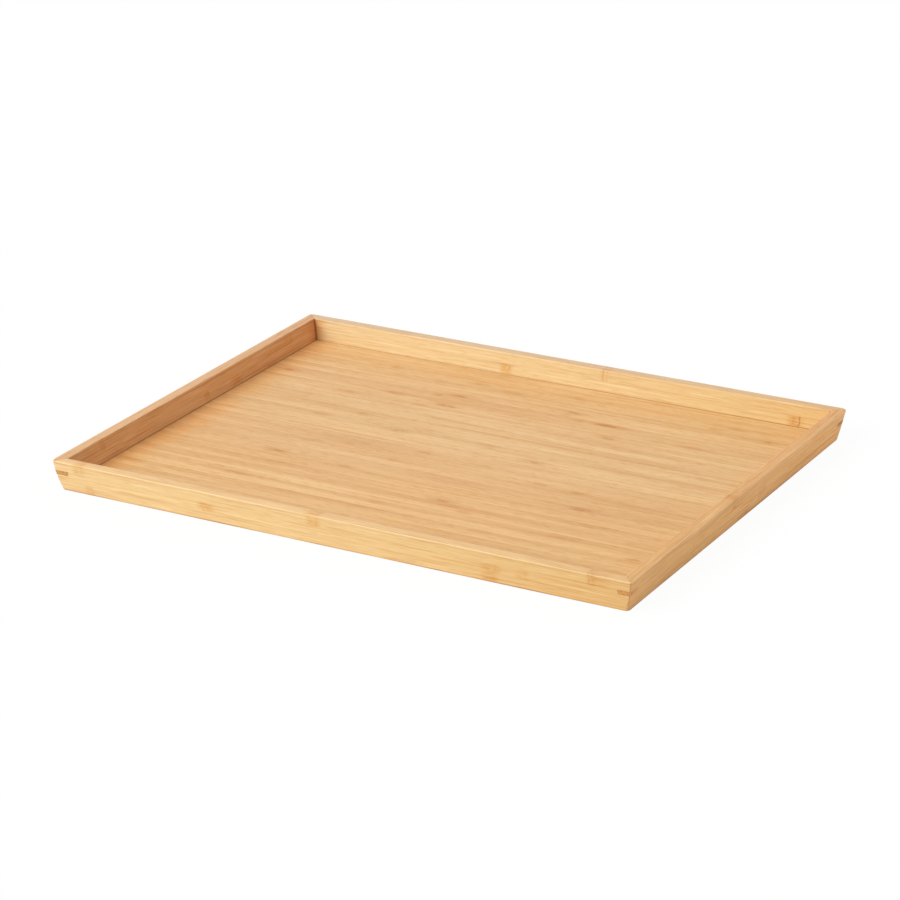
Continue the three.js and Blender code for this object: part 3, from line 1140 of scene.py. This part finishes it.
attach(floorPiece, "root")
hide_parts(*sorted(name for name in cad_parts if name.startswith("floor_stave_")))
print("floor laid:", len(floorPiece.data.polygons), "faces")


# Stage: a white studio floor that keeps a faint contact shadow
studio = {
    "floorSize": 24.0,
    "floorDrop": 0.2 * mm,
    "floorColour": (0.99, 0.99, 0.99),
    "whiteSeen": 0.95,  # plain white in what the camera sees; the rest is the lit floor with its shadow
    "whiteMirrored": 0.3,  # the same in reflections and through glass, where the shadow shows more
    "whiteBounced": 0.45,  # and in the light that the floor sends back, as from a light table
    "worldLight": 0.56,
    "keyDirection": (-0.474, -0.69, 0.609),
    "keyAngle": 44.0,  # degrees across, as a large soft box looks from the tray
    "keyStrength": 2.3,
}


# One value for the camera, one for reflections and what shows through glass, one for all other light
def byPath(seen, mirrored, bounced):
    path = addNode("ShaderNodeLightPath").outputs
    glassy = calc("MAXIMUM", path["Is Glossy Ray"], path["Is Transmission Ray"])
    unseen = mixValue(glassy, bounced, mirrored)
    return mixValue(path["Is Camera Ray"], unseen, seen)


def makeStage():
    build = bmesh.new()
    bmesh.ops.create_grid(build, x_segments=1, y_segments=1, size=studio["floorSize"] / 2)
    bmesh.ops.translate(build, verts=build.verts, vec=(0, 0, -studio["floorDrop"]))
    material = blankMaterial("studioFloor")
    lit = addNode("ShaderNodeBsdfDiffuse", {"Color": studio["floorColour"]})
    white = addNode("ShaderNodeEmission", {"Color": (1, 1, 1), "Strength": 1.0})
    share = byPath(studio["whiteSeen"], studio["whiteMirrored"], studio["whiteBounced"])
    surface = addNode("ShaderNodeMixShader", {0: share, 1: lit.outputs[0], 2: white.outputs[0]})
    addNode("ShaderNodeOutputMaterial", {"Surface": surface.outputs[0]})
    newPiece("studioFloor", build, material)


def makeWorld():
    world = bpy.data.worlds.new("studioWorld")
    world.use_nodes = True
    drawing["tree"] = world.node_tree
    drawing["tree"].nodes.clear()
    strength = byPath(1.0, 1.0, studio["worldLight"])
    background = addNode("ShaderNodeBackground", {"Color": (1, 1, 1), "Strength": strength})
    addNode("ShaderNodeOutputWorld", {"Surface": background.outputs[0]})
    bpy.context.scene.world = world


def makeKeyLight():
    lamp = bpy.data.lights.new("keyLight", "SUN")
    lamp.angle = math.radians(studio["keyAngle"])
    lamp.energy = studio["keyStrength"]
    light = bpy.data.objects.new("keyLight", lamp)
    bpy.context.scene.collection.objects.link(light)
    direction = Vector(studio["keyDirection"]).normalized()
    light.location = direction
    light.rotation_mode = "QUATERNION"
    light.rotation_quaternion = (-direction).to_track_quat("-Z", "Y")


makeStage()
makeWorld()
makeKeyLight()
print("studio lit")


# Camera: where the photograph was taken from
viewpoint = {
    "azimuth": 30.42,  # degrees, 0 looks along +Y
    "elevation": 22.0,
    "roll": -1.31,
    "distance": 2421.3 * mm,
    "across": -3.57 * mm,  # aim, across and up the picture from the origin
    "up": 10.38 * mm,
    "lens": 129.02,
    "sensorWidth": 36,
}


def makeCamera():
    azimuth, elevation, roll = (math.radians(viewpoint[key]) for key in ("azimuth", "elevation", "roll"))
    back = Vector((
        math.sin(azimuth) * math.cos(elevation),
        -math.cos(azimuth) * math.cos(elevation),
        math.sin(elevation),
    ))
    level = Vector((0, 0, 1)).cross(back).normalized()
    upright = back.cross(level)
    right = level * math.cos(roll) + upright * math.sin(roll)
    top = upright * math.cos(roll) - level * math.sin(roll)
    axes = Matrix((right, top, back)).transposed()
    spot = back * viewpoint["distance"] + right * viewpoint["across"] + top * viewpoint["up"]
    lens = bpy.data.cameras.new("photoView")
    lens.lens = viewpoint["lens"]
    lens.sensor_width = viewpoint["sensorWidth"]
    camera = bpy.data.objects.new("photoView", lens)
    camera.matrix_world = Matrix.Translation(spot) @ axes.to_4x4()
    bpy.context.scene.collection.objects.link(camera)
    bpy.context.scene.camera = camera


makeCamera()
bpy.context.scene.view_settings.view_transform = "Standard"
print("camera set")
